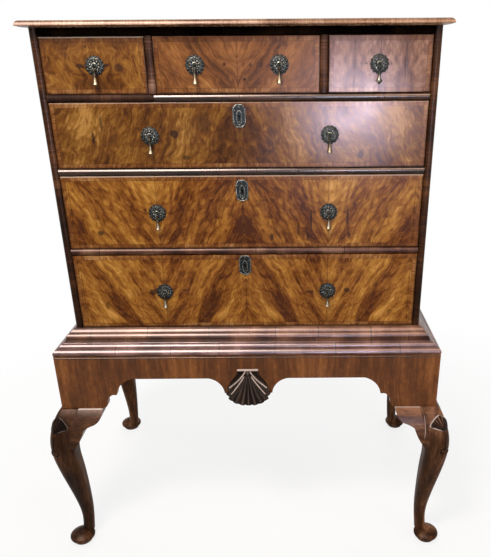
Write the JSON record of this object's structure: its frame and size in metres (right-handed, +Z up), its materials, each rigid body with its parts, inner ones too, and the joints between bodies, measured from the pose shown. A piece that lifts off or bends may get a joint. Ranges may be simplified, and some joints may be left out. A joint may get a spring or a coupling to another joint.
{
  "type": "chest of drawers",
  "caption": "Tall walnut chest on a cabriole-legged stand: short drawers over graduated long drawers, pendant drop handles, carved shell on a shaped apron.",
  "frame": {"origin": "on the floor, under the middle of the stand", "axes": "+Z up, front towards -Y, +X to the viewer's right"},
  "size_m": [1.0992, 0.6632, 1.41],
  "materials": {
    "walnut_veneer": "old figured walnut veneer, waxed and polished",
    "cross_grain_walnut": "cross-grain walnut mouldings, glossy",
    "solid_walnut": "dark solid walnut, carved and polished",
    "oak": "dry unfinished oak drawer linings",
    "softwood": "aged pine carcase wood, unfinished",
    "dark_brass": "stamped brass, darkened by age",
    "bright_brass": "cast brass, worn bright",
    "iron": "old iron, dull"
  },
  "bodies": {
    "chest": {"case_side_left": "walnut_veneer", "case_side_right": "walnut_veneer", "case_bottom": "softwood", "back_boards": "softwood", "drawer_rails": "softwood", "drawer_dividers": "softwood", "drawer_runners": "softwood", "drawer_stops": "softwood", "stile_beads": "cross_grain_walnut", "rail_beads": "cross_grain_walnut", "top_board": "walnut_veneer", "waist_moulding": "cross_grain_walnut", "stand_top_frame": "softwood", "front_apron": "walnut_veneer", "side_apron_left": "walnut_veneer", "side_apron_right": "walnut_veneer", "back_apron": "softwood", "front_leg_left": "solid_walnut", "front_leg_right": "solid_walnut", "rear_leg_left": "solid_walnut", "rear_leg_right": "solid_walnut", "knee_brackets": "solid_walnut", "apron_shell": "solid_walnut"},
    "bottom_drawer": {"bottom_drawer_front": "walnut_veneer", "bottom_drawer_box": "oak", "bottom_drawer_handle_plates": "dark_brass", "bottom_drawer_escutcheon": "dark_brass", "bottom_drawer_lock": "iron"},
    "bottom_drawer_left_drop": {"bottom_drawer_left_drop": "bright_brass"},
    "bottom_drawer_right_drop": {"bottom_drawer_right_drop": "bright_brass"},
    "bottom_drawer_lock_bolt": {"bottom_drawer_lock_bolt": "iron"},
    "centre_drawer": {"centre_drawer_front": "walnut_veneer", "centre_drawer_box": "oak", "centre_drawer_handle_plates": "dark_brass", "centre_drawer_escutcheon": "dark_brass", "centre_drawer_lock": "iron"},
    "centre_drawer_left_drop": {"centre_drawer_left_drop": "bright_brass"},
    "centre_drawer_right_drop": {"centre_drawer_right_drop": "bright_brass"},
    "centre_drawer_lock_bolt": {"centre_drawer_lock_bolt": "iron"},
    "upper_drawer": {"upper_drawer_front": "walnut_veneer", "upper_drawer_box": "oak", "upper_drawer_handle_plates": "dark_brass", "upper_drawer_escutcheon": "dark_brass", "upper_drawer_lock": "iron"},
    "upper_drawer_left_drop": {"upper_drawer_left_drop": "bright_brass"},
    "upper_drawer_right_drop": {"upper_drawer_right_drop": "bright_brass"},
    "upper_drawer_lock_bolt": {"upper_drawer_lock_bolt": "iron"},
    "left_short_drawer": {"left_short_drawer_front": "walnut_veneer", "left_short_drawer_box": "oak", "left_short_drawer_handle_plates": "dark_brass"},
    "left_short_drawer_drop": {"left_short_drawer_drop": "bright_brass"},
    "middle_short_drawer": {"middle_short_drawer_front": "walnut_veneer", "middle_short_drawer_box": "oak", "middle_short_drawer_handle_plates": "dark_brass"},
    "middle_short_drawer_left_drop": {"middle_short_drawer_left_drop": "bright_brass"},
    "middle_short_drawer_right_drop": {"middle_short_drawer_right_drop": "bright_brass"},
    "right_short_drawer": {"right_short_drawer_front": "walnut_veneer", "right_short_drawer_box": "oak", "right_short_drawer_handle_plates": "dark_brass"},
    "right_short_drawer_drop": {"right_short_drawer_drop": "bright_brass"}
  },
  "joints": [
    {"name": "bottom_drawer_slide", "type": "slide", "parent": "chest", "child": "bottom_drawer", "axis": [0, -1, 0], "range_m": [0, 0.4]},
    {"name": "bottom_drawer_left_drop_swing", "type": "hinge", "parent": "bottom_drawer", "child": "bottom_drawer_left_drop", "pos_m": [-0.211, -0.2455, 0.772], "axis": [-1, 0, 0], "range_deg": [0, 100]},
    {"name": "bottom_drawer_right_drop_swing", "type": "hinge", "parent": "bottom_drawer", "child": "bottom_drawer_right_drop", "pos_m": [0.211, -0.2455, 0.772], "axis": [-1, 0, 0], "range_deg": [0, 100]},
    {"name": "bottom_drawer_lock_bolt_throw", "type": "slide", "parent": "bottom_drawer", "child": "bottom_drawer_lock_bolt", "axis": [0, 0, 1], "range_m": [0, 0.007]},
    {"name": "centre_drawer_slide", "type": "slide", "parent": "chest", "child": "centre_drawer", "axis": [0, -1, 0], "range_m": [0, 0.4]},
    {"name": "centre_drawer_left_drop_swing", "type": "hinge", "parent": "centre_drawer", "child": "centre_drawer_left_drop", "pos_m": [-0.211, -0.2455, 0.9805], "axis": [-1, 0, 0], "range_deg": [0, 100]},
    {"name": "centre_drawer_right_drop_swing", "type": "hinge", "parent": "centre_drawer", "child": "centre_drawer_right_drop", "pos_m": [0.211, -0.2455, 0.9805], "axis": [-1, 0, 0], "range_deg": [0, 100]},
    {"name": "centre_drawer_lock_bolt_throw", "type": "slide", "parent": "centre_drawer", "child": "centre_drawer_lock_bolt", "axis": [0, 0, 1], "range_m": [0, 0.007]},
    {"name": "upper_drawer_slide", "type": "slide", "parent": "chest", "child": "upper_drawer", "axis": [0, -1, 0], "range_m": [0, 0.4]},
    {"name": "upper_drawer_left_drop_swing", "type": "hinge", "parent": "upper_drawer", "child": "upper_drawer_left_drop", "pos_m": [-0.211, -0.2455, 1.1645], "axis": [-1, 0, 0], "range_deg": [0, 100]},
    {"name": "upper_drawer_right_drop_swing", "type": "hinge", "parent": "upper_drawer", "child": "upper_drawer_right_drop", "pos_m": [0.211, -0.2455, 1.1645], "axis": [-1, 0, 0], "range_deg": [0, 100]},
    {"name": "upper_drawer_lock_bolt_throw", "type": "slide", "parent": "upper_drawer", "child": "upper_drawer_lock_bolt", "axis": [0, 0, 1], "range_m": [0, 0.007]},
    {"name": "left_short_drawer_slide", "type": "slide", "parent": "chest", "child": "left_short_drawer", "axis": [0, -1, 0], "range_m": [0, 0.4]},
    {"name": "left_short_drawer_drop_swing", "type": "hinge", "parent": "left_short_drawer", "child": "left_short_drawer_drop", "pos_m": [-0.32, -0.2455, 1.318], "axis": [-1, 0, 0], "range_deg": [0, 100]},
    {"name": "middle_short_drawer_slide", "type": "slide", "parent": "chest", "child": "middle_short_drawer", "axis": [0, -1, 0], "range_m": [0, 0.4]},
    {"name": "middle_short_drawer_left_drop_swing", "type": "hinge", "parent": "middle_short_drawer", "child": "middle_short_drawer_left_drop", "pos_m": [-0.095, -0.2455, 1.318], "axis": [-1, 0, 0], "range_deg": [0, 100]},
    {"name": "middle_short_drawer_right_drop_swing", "type": "hinge", "parent": "middle_short_drawer", "child": "middle_short_drawer_right_drop", "pos_m": [0.095, -0.2455, 1.318], "axis": [-1, 0, 0], "range_deg": [0, 100]},
    {"name": "right_short_drawer_slide", "type": "slide", "parent": "chest", "child": "right_short_drawer", "axis": [0, -1, 0], "range_m": [0, 0.4]},
    {"name": "right_short_drawer_drop_swing", "type": "hinge", "parent": "right_short_drawer", "child": "right_short_drawer_drop", "pos_m": [0.32, -0.2455, 1.318], "axis": [-1, 0, 0], "range_deg": [0, 100]}
  ]
}
